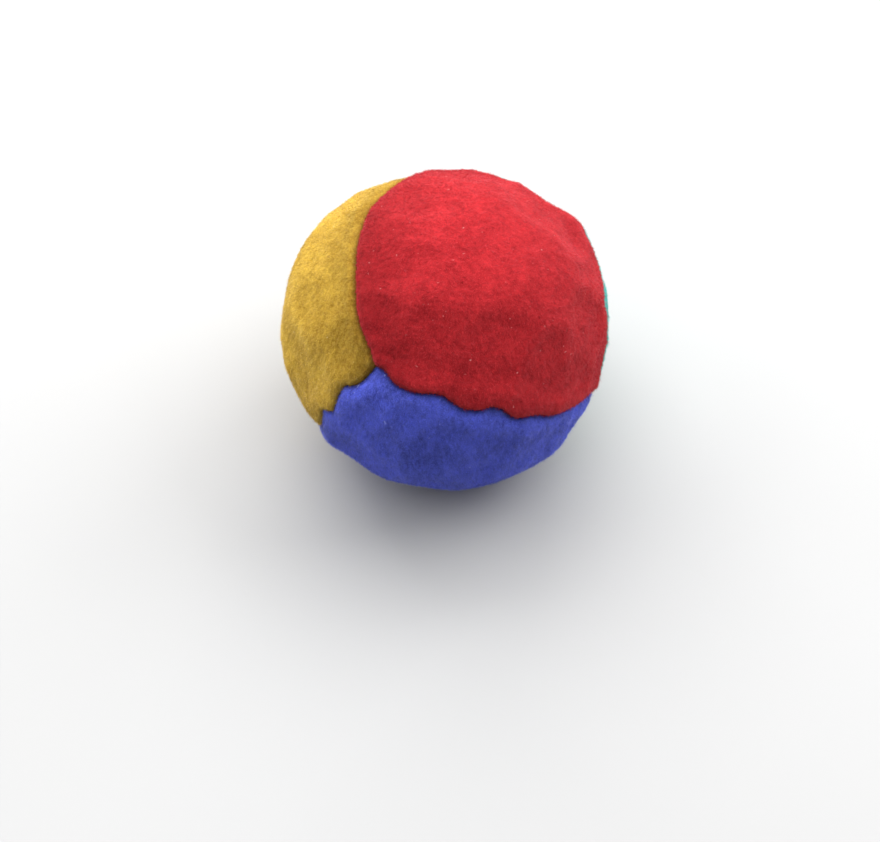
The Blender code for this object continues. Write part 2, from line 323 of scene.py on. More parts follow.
class Value:
    """A node's output, on which Python's arithmetic adds Math nodes."""

    def __init__(self, graph, socket):
        self.graph = graph
        self.socket = socket

    def maths(self, operation, *terms):
        inputs = dict(enumerate(terms))
        return self.graph.add("ShaderNodeMath", {"operation": operation}, inputs)

    def __add__(self, other):
        return self.maths("ADD", self, other)

    def __radd__(self, other):
        return self.maths("ADD", other, self)

    def __sub__(self, other):
        return self.maths("SUBTRACT", self, other)

    def __rsub__(self, other):
        return self.maths("SUBTRACT", other, self)

    def __mul__(self, other):
        return self.maths("MULTIPLY", self, other)

    def __rmul__(self, other):
        return self.maths("MULTIPLY", other, self)

    def __truediv__(self, other):
        return self.maths("DIVIDE", self, other)

    def __pow__(self, other):
        return self.maths("POWER", self, other)

    def clamped(self):
        return self.maths("MINIMUM", self.maths("MAXIMUM", self, 0.0), 1.0)

    def sine(self):
        return self.maths("SINE", self)


class Graph:
    """A node tree that grows by one method: a node's type, its settings, its values or links."""

    def __init__(self, tree):
        self.tree = tree

    def add(self, kind, settings=None, inputs=None, output=0):
        node = self.tree.nodes.new(kind)
        for name, value in (settings or {}).items():
            setattr(node, name, value)
        for key, value in (inputs or {}).items():
            socket = node.inputs[key]
            if isinstance(value, Value):
                self.tree.links.new(value.socket, socket)
            else:
                socket.default_value = value
        if not len(node.outputs):
            return node
        return Value(self, node.outputs[output])

    def mix(self, factor, first, second):
        inputs = {0: factor, 6: first, 7: second}
        return self.add("ShaderNodeMix", {"data_type": "RGBA"}, inputs, output=2)

    def vector(self, operation, first, second=(0.0, 0.0, 0.0), scale=1.0, output=0):
        inputs = {0: first, 1: second}
        if operation == "SCALE":
            inputs = {0: first, 3: scale}
        return self.add("ShaderNodeVectorMath", {"operation": operation}, inputs, output)

    def random(self, least, most, seed):
        """A number of its own for each point or instance."""
        return self.add("FunctionNodeRandomValue", {"data_type": "FLOAT"},
                        {2: least, 3: most, "Seed": seed}, output=1)

    def noise(self, place, size, detail=2.0, roughness=0.5, output=0):
        """Noise whose features are about a size across, in metres."""
        inputs = {"Vector": place, "Scale": 1.0 / size, "Detail": detail, "Roughness": roughness}
        return self.add("ShaderNodeTexNoise", None, inputs, output)


def new_material(name, sheen=0.0, sheen_tint=(1.0, 1.0, 1.0, 1.0), specular=0.3):
    """A material with its Principled shader, and the graph and Object coordinates to feed it."""
    material = bpy.data.materials.new(name)
    material.use_nodes = True
    tree = material.node_tree
    shader = tree.nodes["Principled BSDF"]
    shader.inputs["Specular IOR Level"].default_value = specular
    shader.inputs["Sheen Weight"].default_value = sheen
    shader.inputs["Sheen Roughness"].default_value = 0.5
    shader.inputs["Sheen Tint"].default_value = sheen_tint
    graph = Graph(tree)
    place = Value(graph, tree.nodes.new("ShaderNodeTexCoord").outputs["Object"])
    return material, shader, graph, place


def feed(graph, shader, **links):
    """Links a shader's sockets, given by their names with underscores."""
    for name, value in links.items():
        graph.tree.links.new(value.socket, shader.inputs[name.replace("_", " ")])


# ---------------------------------------------------------------- finishes


def suede_tone(graph, place):
    """Brushed suede's light and dark: broad handling marks, strokes, clumps of nap and grain."""
    stroke = graph.add("ShaderNodeMapping", None, {"Vector": place, "Rotation": (0.5, 0.3, 0.8),
                                                   "Scale": (1.0, 1.0, 0.38)})
    broad = graph.noise(place, 11.0 * MM, 2.0) - 0.5
    brushed = graph.noise(stroke, 2.6 * MM, 3.0, 0.6) - 0.5
    clumps = graph.noise(stroke, 0.85 * MM, 3.0, 0.65) - 0.5
    grain = graph.noise(place, 0.28 * MM, 2.0, 0.6) - 0.5
    return broad, brushed, clumps, grain


def attribute(graph, name):
    """A number stored on the piece's own points."""
    return graph.add("ShaderNodeAttribute", {"attribute_name": name}, output=2)


def bump_from(graph, strength, depth, height):
    inputs = {"Strength": strength, "Distance": depth, "Height": height}
    return graph.add("ShaderNodeBump", None, inputs)


def suede(name, deep, bright, pale, nap=False):
    """Brushed suede: its skin, or with nap the loose fibres that stand on it."""
    glow = tuple(0.3 * light + 0.7 * dim for light, dim in zip(pale, bright))
    sheen = ball_making().sheen
    material, shader, graph, place = new_material(name, sheen, (*glow, 1.0), specular=0.12)
    if nap:
        shader.inputs["Subsurface Weight"].default_value = 0.55
        shader.inputs["Subsurface Radius"].default_value = (1.0, 1.0, 1.0)
        shader.inputs["Subsurface Scale"].default_value = 0.09 * MM
    broad, brushed, clumps, grain = suede_tone(graph, place)
    tone = 0.5 + broad * 0.6 + brushed * 0.75 + clumps * 1.05 + grain * 1.05
    # Painted shade along the seams, and where negative a painted highlight on a raised edge, which
    # lightens the tone
    grubby = attribute(graph, "grubby")
    painted_highlight = (grubby * -1.0).clamped()
    tone = tone + painted_highlight * 0.9
    if nap:
        tone = tone + (attribute(graph, "shade") - 0.5) * 0.75 + 0.12
    else:
        tone = tone - 0.05
    dyed = graph.mix(tone.clamped(), (*deep, 1.0), (*bright, 1.0))
    dark = tuple(channel * share for channel, share in zip(deep, (0.42, 0.27, 0.32)))
    pits = (0.24 - graph.noise(place, 0.45 * MM, 1.0)) * 9.0
    # Darkened by the suede's own dark specks and by the painted shade along the seams
    shade_and_specks = (grubby.clamped() + pits.clamped() * 0.5).clamped()
    soiled = graph.mix(shade_and_specks * 0.85, dyed, (*dark, 1.0))
    fleck = graph.noise(place, 0.75 * MM, 0.0)
    sparse = graph.noise(place, 4.2 * MM, 1.0)
    lint = ((fleck - 0.79) * 14.0).clamped() * ((sparse - 0.52) * 9.0).clamped()
    linty = graph.mix(lint * 0.42, soiled, (*pale, 1.0))
    relief = clumps * 0.9 + brushed * 0.7 + grain * 0.35
    bump = bump_from(graph, 0.2 if nap else 0.55, 0.14 * MM, relief)
    feed(graph, shader, Base_Color=linty, Roughness=0.93 + clumps * 0.12, Normal=bump)
    return material


def thread_finish(name, colour):
    """Twisted thread: fine fibres along the plies and a slight wax shine."""
    material, shader, graph, place = new_material(name, sheen=0.2, specular=0.45)
    fibres = graph.noise(place, 0.12 * MM, 3.0, 0.6)
    faded = graph.noise(place, 3.0 * MM, 2.0)
    light = tuple(min(1.0, channel * 1.9 + 0.03) for channel in colour)
    tone = (fibres * 0.9 + faded * 0.5 - 0.25).clamped()
    bump = bump_from(graph, 0.4, 0.05 * MM, fibres)
    feed(graph, shader, Base_Color=graph.mix(tone, (*colour, 1.0), (*light, 1.0)),
         Roughness=0.5 + fibres * 0.2, Normal=bump)
    return material


def cotton_finish(name, colour, thread_pitch):
    """Plain-woven cotton: warp over weft on all three axes, with slubs and a faint grey."""
    material, shader, graph, place = new_material(name, sheen=0.15, specular=0.2)
    split = graph.tree.nodes.new("ShaderNodeSeparateXYZ")
    graph.tree.links.new(place.socket, split.inputs[0])
    x, y, z = (Value(graph, socket) for socket in split.outputs)
    turns = 2 * math.pi / thread_pitch
    weave = (x * turns).sine() * (z * turns).sine() * 0.5 + (y * turns).sine() * 0.25 + 0.5
    slubs = graph.noise(place, 1.4 * MM, 3.0)
    soiled = graph.noise(place, 9.0 * MM, 3.0)
    tone = (weave * 0.6 + slubs * 0.6 - 0.2).clamped()
    shade = tuple(channel * 0.62 for channel in colour)
    body = graph.mix(tone, (*shade, 1.0), (*colour, 1.0))
    body = graph.mix((soiled - 0.45).clamped() * 0.8, body, (0.55, 0.5, 0.4, 1.0))
    bump = bump_from(graph, 0.6, 0.08 * MM, weave + slubs * 0.4)
    feed(graph, shader, Base_Color=body, Roughness=0.8 + slubs * 0.15, Normal=bump)
    return material


def millet_finish(name, colour):
    """Husked millet: each grain its own straw tone, with a dull polish."""
    material, shader, graph, place = new_material(name, sheen=0.0, specular=0.4)
    own = attribute(graph, "shade")
    skin = graph.noise(place, 0.5 * MM, 3.0)
    brown = tuple(channel * factor for channel, factor in zip(colour, (0.62, 0.5, 0.4)))
    tone = (own * 0.7 + skin * 0.5 - 0.1).clamped()
    bump = bump_from(graph, 0.25, 0.05 * MM, skin)
    feed(graph, shader, Base_Color=graph.mix(tone, (*brown, 1.0), (*colour, 1.0)),
         Roughness=0.42 + skin * 0.25, Normal=bump)
    return material


def floor_finish(name, colour):
    """A pale matt table top with the faintest cloudiness."""
    material, shader, graph, place = new_material(name, specular=0.2)
    cloud = graph.noise(place, 60.0 * MM, 4.0)
    fine = graph.noise(place, 1.2 * MM, 3.0)
    darker = tuple(channel * 0.96 for channel in colour)
    tone = (cloud * 0.7 + fine * 0.3).clamped()
    feed(graph, shader, Base_Color=graph.mix(tone, (*darker, 1.0), (*colour, 1.0)),
         Roughness=0.75 + fine * 0.1)
    return material


# ---------------------------------------------------------------- mesh helpers


def add_piece(name, mesh, material=None):
    piece = bpy.data.objects.new(name, mesh)
    if material:
        mesh.materials.clear()
        mesh.materials.append(material)
    bpy.context.scene.collection.objects.link(piece)
    return piece


def numbers(layer, name, count, width=1):
    values = np.empty(count * width, dtype=np.float64)
    layer.foreach_get(name, values)
    return values.reshape(count, width) if width > 1 else values


def coordinates(mesh):
    return numbers(mesh.vertices, "co", len(mesh.vertices), 3)


def store(mesh, name, values):
    attribute = mesh.attributes.get(name) or mesh.attributes.new(name, "FLOAT", "POINT")
    attribute.data.foreach_set("value", np.asarray(values, dtype=np.float32))


def stored(mesh, name):
    return numbers(mesh.attributes[name].data, "value", len(mesh.vertices))


def averaged(mesh, values, rounds):
    """Evens out a value between neighbouring points."""
    ends = np.empty(len(mesh.edges) * 2, dtype=np.int64)
    mesh.edges.foreach_get("vertices", ends)
    first, second = ends.reshape(-1, 2).T
    count = np.bincount(ends, minlength=len(values))
    for _ in range(rounds):
        total = np.bincount(first, values[second], len(values))
        total += np.bincount(second, values[first], len(values))
        values = 0.5 * values + 0.5 * total / count
    return values


def panelled_sphere(cuts):
    """The unit sphere of directions, cut into panels: a face's material index is its panel's."""
    bm = bmesh.new()
    bmesh.ops.create_cone(bm, cap_ends=True, segments=3, radius1=1, radius2=0, depth=1)
    names = list(CORNERS)
    for vert, name in zip(bm.verts, names):
        vert.co = from_bearing(*CORNERS[name])
    bm.verts.index_update()
    for face in bm.faces:
        shared = set(PANELS)
        for vert in face.verts:
            shared &= set(names[vert.index].split("_"))
        face.material_index = PANELS.index(shared.pop())
    bmesh.ops.recalc_face_normals(bm, faces=bm.faces[:])
    for _ in range(cuts):
        bmesh.ops.subdivide_edges(bm, edges=bm.edges[:], cuts=1, use_grid_fill=True)
        inner = [v for v in bm.verts if len({f.material_index for f in v.link_faces}) == 1]
        for _ in range(12):
            bmesh.ops.smooth_vert(
                bm, verts=inner, factor=0.5, use_axis_x=True, use_axis_y=True, use_axis_z=True
            )
            for vert in bm.verts:
                vert.co.normalize()
    return bm


def converted(piece, name):
    """The plain mesh that a piece's modifiers give; the piece itself is taken away."""
    graph = bpy.context.evaluated_depsgraph_get()
    mesh = bpy.data.meshes.new_from_object(piece.evaluated_get(graph), depsgraph=graph)
    mesh.name = name
    bpy.data.objects.remove(piece, do_unlink=True)
    return mesh


def set_inputs(modifier, values):
    """Sets a Geometry Nodes modifier's inputs, found by their names."""
    for item in modifier.node_group.interface.items_tree:
        if item.item_type == "SOCKET" and item.in_out == "INPUT" and item.name in values:
            modifier[item.identifier] = values[item.name]


def grown(mesh, tree, name, values):
    """The plain mesh that a node tree makes from a mesh or a curve."""
    seed = bpy.data.objects.new(name, mesh)
    bpy.context.scene.collection.objects.link(seed)
    modifier = seed.modifiers.new(name, "NODES")
    modifier.node_group = tree
    set_inputs(modifier, values)
    return converted(seed, name)


def new_tree(name, sockets):
    """A Geometry Nodes tree with a geometry in and out and the named inputs."""
    tree = bpy.data.node_groups.new(name, "GeometryNodeTree")
    tree.interface.new_socket("Geometry", in_out="INPUT", socket_type="NodeSocketGeometry")
    for label, kind in sockets:
        tree.interface.new_socket(label, in_out="INPUT", socket_type="NodeSocket" + kind)
    tree.interface.new_socket("Geometry", in_out="OUTPUT", socket_type="NodeSocketGeometry")
    graph = Graph(tree)
    entry = tree.nodes.new("NodeGroupInput")
    entries = {socket.name: Value(graph, socket) for socket in entry.outputs if socket.name}
    return tree, graph, entries


def shaded_each(graph, instances):
    """Gives every instance a shade of its own, for its finish to read."""
    return graph.add("GeometryNodeStoreNamedAttribute",
                     {"data_type": "FLOAT", "domain": "INSTANCE"},
                     {0: instances, "Name": "shade", 3: graph.random(0.0, 1.0, seed=7)})


def end_tree(graph, geometry, material):
    """Ends a tree with real geometry in its own finish."""
    real = graph.add("GeometryNodeRealizeInstances", None, {0: geometry})
    dressed = graph.add("GeometryNodeSetMaterial", None, {0: real, "Material": material})
    graph.add("NodeGroupOutput", None, {0: dressed})


def cad_copy(node):
    """A welded copy of a frame node's mesh."""
    source = bpy.data.objects[node]
    bm = bmesh.new()
    bm.from_mesh(source.data)
    bmesh.ops.remove_doubles(bm, verts=bm.verts[:], dist=0.001 * MM)
    bmesh.ops.join_triangles(bm, faces=bm.faces[:], angle_face_threshold=0.2,
                             angle_shape_threshold=0.8)
    mesh = bpy.data.meshes.new(node + "_copy")
    bm.to_mesh(mesh)
    bm.free()
    return mesh


def smooth_all(mesh):
    mesh.shade_smooth()
    return mesh


# ---------------------------------------------------------------- settings


def ball_making():
    return bpy.context.scene.ball_making


def length(name, description, default):
    return bpy.props.FloatProperty(
        name=name, description=description, default=default, min=0.0, precision=6,
        unit="LENGTH", subtype="DISTANCE",
    )


def tint(name, default):
    return bpy.props.FloatVectorProperty(
        name=name, description=name + " of the finish, as linear light", default=default,
        min=0.0, max=1.0, size=3, subtype="COLOR",
    )


def degrees(name, description, default):
    return bpy.props.FloatProperty(
        name=name, description=description, default=math.radians(default), subtype="ANGLE"
    )


def power(name, description, default):
    return bpy.props.FloatProperty(
        name=name, description=description, default=default, unit="POWER"
    )


class BallMaking(bpy.types.PropertyGroup):
    """Sizes of the cover, its nap and what it holds."""

    suede: length("Suede", "Thickness of the suede", 1.2 * MM)
    allowance: length("Allowance", "How far a turned-in edge reaches below the skin", 4.2 * MM)
    fold: length("Fold", "Radius of the fold between skin and seam allowance", 0.75 * MM)
    groove: length("Groove", "How deep a seam is drawn in", 0.55 * MM)
    stitch_draw: length("Stitch draw", "How much deeper each stitch draws it", 0.45 * MM)
    stitch_pitch: length("Stitch pitch", "From one stitch to the next", 4.8 * MM)
    swell_limit: length("Swell limit", "The furthest that the filled cover may swell", 1.1 * MM)
    lumps: length("Lumps", "Height of the soft lumps that the grain makes", 0.09 * MM)
    folds: length("Folds", "Height of the soft folds in the cover", 0.15 * MM)
    puckers: length("Puckers", "Height of the gathers beside each stitch", 0.06 * MM)
    clumps: length("Clumps", "Height of the matted clumps of nap", 0.11 * MM)
    softness: length("Softness", "Roundness of the rim of the flattened underside", 0.35 * MM)
    nap_depth: length("Nap depth", "How far the skin lies under the tips of its nap", 0.3 * MM)
    nap_length: length("Nap length", "Length of a fibre of the nap", 0.62 * MM)
    nap_width: length("Nap width", "Width of a fibre of the nap", 0.075 * MM)
    nap_density: bpy.props.FloatProperty(
        name="Nap density", description="Fibres on each square millimetre", default=11.5, min=0.0
    )
    sheen: bpy.props.FloatProperty(
        name="Sheen", description="Soft glow of the nap at its edges", default=0.5,
        min=0.0, max=1.0, subtype="FACTOR",
    )
    thread: length("Thread", "Radius of the sewing thread", 0.35 * MM)
    twist: length("Twist", "Length of one full turn of the thread's plies", 2.2 * MM)
    weave: length("Weave", "Pitch of the liner's cotton threads", 0.6 * MM)
    grain: length("Grain", "Length of a grain of millet", 2.1 * MM)


class BallColours(bpy.types.PropertyGroup):
    """Colours of the finishes: a deep and a bright tone of each suede."""

    red_deep: tint("Red, deep", (0.19, 0.0030, 0.0065))
    red_bright: tint("Red, bright", (0.49, 0.022, 0.028))
    red_pale: tint("Red, pale", (0.90, 0.42, 0.42))
    ochre_deep: tint("Ochre, deep", (0.23, 0.12, 0.007))
    ochre_bright: tint("Ochre, bright", (0.68, 0.45, 0.060))
    ochre_pale: tint("Ochre, pale", (0.92, 0.76, 0.36))
    blue_deep: tint("Blue, deep", (0.032, 0.042, 0.23))
    blue_bright: tint("Blue, bright", (0.113, 0.15, 0.80))
    blue_pale: tint("Blue, pale", (0.45, 0.50, 0.80))
    teal_deep: tint("Teal, deep", (0.018, 0.19, 0.175))
    teal_bright: tint("Teal, bright", (0.09, 0.50, 0.45))
    teal_pale: tint("Teal, pale", (0.60, 0.88, 0.84))
    thread: tint("Seam thread", (0.10, 0.03, 0.04))
    closing_thread: tint("Closing thread", (0.05, 0.06, 0.20))
    cotton: tint("Cotton", (0.80, 0.76, 0.66))
    millet: tint("Millet", (0.76, 0.58, 0.26))
    table: tint("Table", (0.43, 0.43, 0.43))


class BallStage(bpy.types.PropertyGroup):
    """The table, the lights and the camera."""

    distance: length("Camera distance", "From the camera to the ball's centre", 0.57)
    height: degrees("Camera height", "Angle of the camera above the table", 58.0)
    aim_below: degrees("Aim below", "How far below the ball's centre the camera aims", 1.9)
    aim_left: degrees("Aim left", "How far left of the ball's centre the camera aims", 0.1)
    lens: bpy.props.FloatProperty(
        name="Lens", description="Focal length in millimetres on a 36 mm sensor", default=115.3
    )
    key: power("Key light", "Power of the broad light behind the ball", 12.0)
    left: power("Left light", "Power of the soft box on the left", 4.8)
    right: power("Right light", "Power of the soft box on the right", 8.2)
    overhead: power("Overhead light", "Power of the wide soft box overhead", 10.5)
    sky: bpy.props.FloatProperty(
        name="Sky", description="Strength of the even light from all around", default=0.08
    )


# ---------------------------------------------------------------- operators


COVER = "cover_form"  # the swollen cover's directions, kept between two operators


class BALL_OT_swell_cover(bpy.types.Operator):
    """Swells the sewn cover with its grain, held in along the seams"""

    bl_idname = "ball.swell_cover"
    bl_label = "Swell Cover"

    cuts = 6  # each cuts every face of the cover in four
    scale = 10.0  # the cloth solver likes pieces of about a metre
    steps = 20
    valley_reach = 5.5 * MM
    stitch_reach = 0.4 * MM
    cloth = {
        "quality": 6,
        "mass": 0.3,
        "tension_stiffness": 20.0,
        "compression_stiffness": 20.0,
        "shear_stiffness": 12.0,
        "bending_stiffness": 2.0,
        "air_damping": 3.0,
        "use_pressure": True,
        "uniform_pressure_force": 4.0,
        "shrink_min": -0.012,
    }

    def execute(self, context):
        making = ball_making()
        bm = panelled_sphere(self.cuts)
        mesh = bpy.data.meshes.new(COVER)
        bm.to_mesh(mesh)
        bm.free()
        plain = coordinates(mesh)
        out = shaped(plain)
        held, draw = self.seam_hold(mesh, making)
        start = RADIUS - making.groove * held - making.stitch_draw * draw
        height = self.simulated(mesh, out * start[:, None], held > 0.5) - RADIUS
        limit = making.swell_limit
        height = averaged(mesh, limit * np.tanh(height / limit), rounds=2)
        height -= height[held < 0.5].mean() + making.nap_depth
        for seam in SEAMS:
            height -= seam.valley * seam.nearness(plain, self.valley_reach)
        for bearing, rise, out_by, width in SWELLS:
            away = angle_between(out, from_bearing(bearing, rise)) * RADIUS / (width * MM)
            height += out_by * MM * np.exp(-(away**2))
        store(mesh, "swell", height)
        return {"FINISHED"}

    def near_seams(self, plain, reach):
        return np.max([seam.nearness(plain, reach) for seam in SEAMS], axis=0)

    def seam_hold(self, mesh, making):
        """1 on the seams' points, and how hard a stitch draws each of them in."""
        panels = {}
        for face in mesh.polygons:
            for vert in face.vertices:
                panels.setdefault(vert, set()).add(face.material_index)
        held = np.array([float(len(panels[vert]) > 1) for vert in range(len(mesh.vertices))])
        plain = coordinates(mesh)
        draw = np.zeros(len(plain))
        for seam in SEAMS:
            share, _ = seam.share(plain)
            stitch = np.cos(math.pi * share * seam.length / making.stitch_pitch) ** 6
            near = seam.nearness(plain, self.stitch_reach) > 0.5
            draw = np.maximum(draw, stitch * held * near)
        return held, draw

    def simulated(self, mesh, start, held):
        """Distances from the centre after the cloth has swollen between its seams."""
        cloth_mesh = mesh.copy()
        cloth_mesh.vertices.foreach_set("co", (start * self.scale).ravel())
        cloth = add_piece("cover_cloth", cloth_mesh)
        group = cloth.vertex_groups.new(name="sewn")
        group.add(np.flatnonzero(held).tolist(), 1.0, "REPLACE")
        modifier = cloth.modifiers.new("swelling", "CLOTH")
        for name, value in self.cloth.items():
            setattr(modifier.settings, name, value)
        modifier.settings.effector_weights.gravity = 0.0
        modifier.settings.vertex_group_mass = "sewn"
        modifier.collision_settings.use_self_collision = False
        scene = bpy.context.scene
        for step in range(1, self.steps + 1):
            scene.frame_set(step)
        swollen = converted(cloth, "cover_swollen")
        scene.frame_set(1)
        distances = np.linalg.norm(coordinates(swollen), axis=1) / self.scale
        bpy.data.meshes.remove(swollen)
        return distances


def suede_tones(colour_name):
    colours = bpy.context.scene.ball_colours
    return [getattr(colours, colour_name + part) for part in ("_deep", "_bright", "_pale")]


class BALL_OT_sew_panels(bpy.types.Operator):
    """Cuts the cover into its four suede panels, with folded edges, thickness and relief"""

    bl_idname = "ball.sew_panels"
    bl_label = "Sew Panels"

    rows = (0.22 * MM, 0.45 * MM)  # widths of the fine rows along a panel's edge
    drops = (1.1 * MM, 2.4 * MM)  # depths of the rows on the seam allowance
    proud_reach = 2.6 * MM
    pucker_reach = 3.2 * MM
    edge_reach = 0.75 * MM  # how far from a seam the painted shade and highlight of its edges reach
    # how far from a seam the broader painted shade reaches
    painted_shade_reach = 8.0 * MM
    calm_depth = 1.0 * MM  # how far down an allowance the skin's relief fades out
    lump_sizes = (7.5, 3.4)  # millimetres, as are the next two
    fold_size = 3.2
    clump_sizes = (0.95, 0.5)

    def execute(self, context):
        for colour_name in PANELS:
            material = suede("suede_" + colour_name, *suede_tones(colour_name))
            mesh = self.cut(colour_name)
            self.place(mesh, colour_name)
            piece = add_piece(colour_name + "_suede", smooth_all(mesh), material)
            self.declare(piece, colour_name)
        bpy.data.meshes.remove(bpy.data.meshes[COVER])
        return {"FINISHED"}

    def cut(self, colour_name):
        """One panel's directions with fine rows at its rim and the rows of its allowance."""
        bm = bmesh.new()
        bm.from_mesh(bpy.data.meshes[COVER])
        index = PANELS.index(colour_name)
        others = [face for face in bm.faces if face.material_index != index]
        bmesh.ops.delete(bm, geom=others, context="FACES")
        inner = bm.faces[:]
        for width in self.rows:
            bmesh.ops.inset_region(
                bm, faces=inner, thickness=width / RADIUS, use_boundary=True, use_even_offset=True
            )
        bmesh.ops.subdivide_edges(bm, edges=bm.edges[:], cuts=3, use_grid_fill=True)
        drop = bm.verts.layers.float.new("drop")
        making = ball_making()
        for depth in (*self.drops, making.allowance - making.fold):
            rim = [edge for edge in bm.edges if edge.is_boundary]
            made = bmesh.ops.extrude_edge_only(bm, edges=rim)
            for item in made["geom"]:
                if isinstance(item, bmesh.types.BMVert):
                    item[drop] = depth
        bmesh.ops.recalc_face_normals(bm, faces=bm.faces[:])
        for face in bm.faces:
            face.material_index = 0
        mesh = bpy.data.meshes.new("panel_" + colour_name)
        bm.to_mesh(mesh)
        bm.free()
        return mesh

    def place(self, mesh, colour_name):
        """Gives the panel its two sides and sets every point in its place on the ball."""
        making = ball_making()
        count = len(mesh.vertices)
        plain = unit(coordinates(mesh))
        if np.mean(np.einsum("ij,j->i", plain, panel_centre(colour_name))) < 0:
            raise RuntimeError("a panel has turned inside out")
        drop = stored(mesh, "drop")
        swell = averaged(mesh, stored(mesh, "swell"), rounds=6)
        outer, grubby = self.outside(plain, colour_name, drop, swell, making)
        inner = self.inside(plain, colour_name, drop, swell, making)

        bm = bmesh.new()
        bm.from_mesh(mesh)
        bm.verts.index_update()
        rim = [e for e in bm.edges if e.is_boundary]
        corners = [[loop.vert.index for loop in e.link_loops[0].face.loops] for e in rim]
        twin = bmesh.ops.duplicate(bm, geom=bm.verts[:] + bm.edges[:] + bm.faces[:])
        order = twin["vert_map"]
        bm.verts.ensure_lookup_table()
        bm.verts.index_update()
        inner_faces = [item for item in twin["geom"] if isinstance(item, bmesh.types.BMFace)]
        bmesh.ops.reverse_faces(bm, faces=inner_faces)
        for e, ring in zip(rim, corners):
            first, second = e.verts
            forward = ring[(ring.index(first.index) + 1) % len(ring)] == second.index
            start, end = (first, second) if forward else (second, first)
            bm.faces.new((end, start, order[start], order[end]))
        target = np.empty((len(bm.verts), 3))
        for vert in bm.verts:
            if vert.index < count:
                target[vert.index] = outer[vert.index]
                target[order[vert].index] = inner[vert.index]
        bm.to_mesh(mesh)
        bm.free()
        mesh.vertices.foreach_set("co", (target + CENTRE).ravel())
        # Stores the skin's painted seam shade and highlight, for its finish to read
        store(mesh, "grubby", np.concatenate([grubby, np.zeros(len(target) - count)]))
        store(mesh, "skin", np.concatenate([(drop == 0) * 1.0, np.zeros(len(target) - count)]))
        mesh.attributes.remove(mesh.attributes["drop"])
        mesh.attributes.remove(mesh.attributes["swell"])
        mesh.update()

    def inward(self, colour_name):
        """The seams around a panel, each with its direction into the panel."""
        for seam in SEAMS:
            if colour_name in seam.pair:
                side = seam.pair.index(colour_name)
                yield seam, seam.across * (1 if side else -1), side

    def drawn_in(self, plain, colour_name, clearance):
        """Moves directions into the panel until they clear its seams."""
        moved = plain.copy()
        for _, inwards, _ in self.inward(colour_name):
            distance = np.arcsin(np.clip(plain @ inwards, -1, 1)) * RADIUS
            moved += np.outer(np.maximum(clearance - distance, 0.0) / RADIUS, inwards)
        return unit(moved)

    def seam_distance(self, plain, colour_name):
        return np.min([np.arcsin(np.clip(plain @ inwards, -1, 1)) * RADIUS
                       for _, inwards, _ in self.inward(colour_name)], axis=0)

    def outside(self, plain, colour_name, drop, swell, making):
        clear = self.drawn_in(plain, colour_name, GAP)
        distance = np.maximum(self.seam_distance(clear, colour_name) - GAP, 0.0)
        out = shaped(clear)
        relief = self.relief(out, making)
        lift = np.zeros(len(plain))
        for seam, _, side in self.inward(colour_name):
            share, _ = seam.share(clear)
            lift += seam.proud[side] * seam.nearness(clear, self.proud_reach)
            pucker = np.cos(2 * math.pi * (share * seam.length / making.stitch_pitch))
            lift += making.puckers * pucker * seam.nearness(clear, self.pucker_reach)
        short = np.clip(making.fold - distance, 0.0, making.fold)
        roll = making.fold - np.sqrt(making.fold**2 - short**2)
        calm = np.clip(1 - drop / self.calm_depth, 0, 1)
        height = RADIUS + swell + (lift + relief) * calm
        depth = roll + drop
        points = settled(out * (height - depth)[:, None], depth, making.softness)
        # The second value is the painted seam shade and highlight, on the skin only
        return points, self.painted_seam_shading(clear, colour_name) * (drop == 0)

    def painted_seam_shading(self, directions, colour_name):
        """Painted shade along the seams; negative where a painted highlight brightens a raised
        edge.
        """
        seams = list(self.inward(colour_name))
        painted_shade = sum(seam.painted_shade[side] * seam.nearness(directions, self.painted_shade_reach)
                      for seam, _, side in seams)
        edges = np.array([seam.shade[side] * seam.nearness(directions, self.edge_reach)
                          for seam, _, side in seams])
        return painted_shade + np.maximum(edges.max(axis=0), 0.0) + np.minimum(edges.min(axis=0), 0.0)

    def inside(self, plain, colour_name, drop, swell, making):
        """The suede's flesh side, one thickness in from the skin and from the seams."""
        distance = self.seam_distance(plain, colour_name)
        clearance = making.suede + GAP + 0.1 * np.maximum(distance, 0.0)
        out = shaped(self.drawn_in(plain, colour_name, clearance))
        depth = np.maximum(making.suede, np.where(drop > 0, making.fold + drop, 0.0))
        height = RADIUS + np.where(drop > 0, 0.0, swell)
        return settled(out * (height - depth)[:, None], depth, making.softness)

    def relief(self, out, making):
        """Soft lumps of grain and folds under the skin, and matted clumps of nap on it."""
        places = out * RADIUS / MM
        run = unit(FOLD_RUN)
        along_folds = places - np.outer(places @ run, run) * (1 - 1 / FOLD_STRETCH)
        heights = np.empty(len(out))
        for index, (place, folded) in enumerate(zip(places, along_folds)):
            place, folded = Vector(place), Vector(folded)
            broad, narrow = (noise.noise(place / size) for size in self.lump_sizes)
            lump = broad + 0.45 * narrow
            fold = noise.noise(folded / self.fold_size)
            broad, narrow = (noise.noise(place / size) for size in self.clump_sizes)
            clump = broad + 0.6 * narrow
            heights[index] = making.lumps * lump + making.folds * fold + making.clumps * clump
        return heights

    def declare(self, piece, colour_name):
        making = ball_making()
        seam_length = RADIUS * SEAM_ANGLE
        across = 2 * RADIUS * (math.pi - SEAM_ANGLE) + 2 * making.allowance
        allowances = 3 * seam_length * (making.allowance + making.fold)
        area = math.pi * RADIUS**2 + allowances
        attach(piece, BODY)
        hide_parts("panel_" + colour_name)


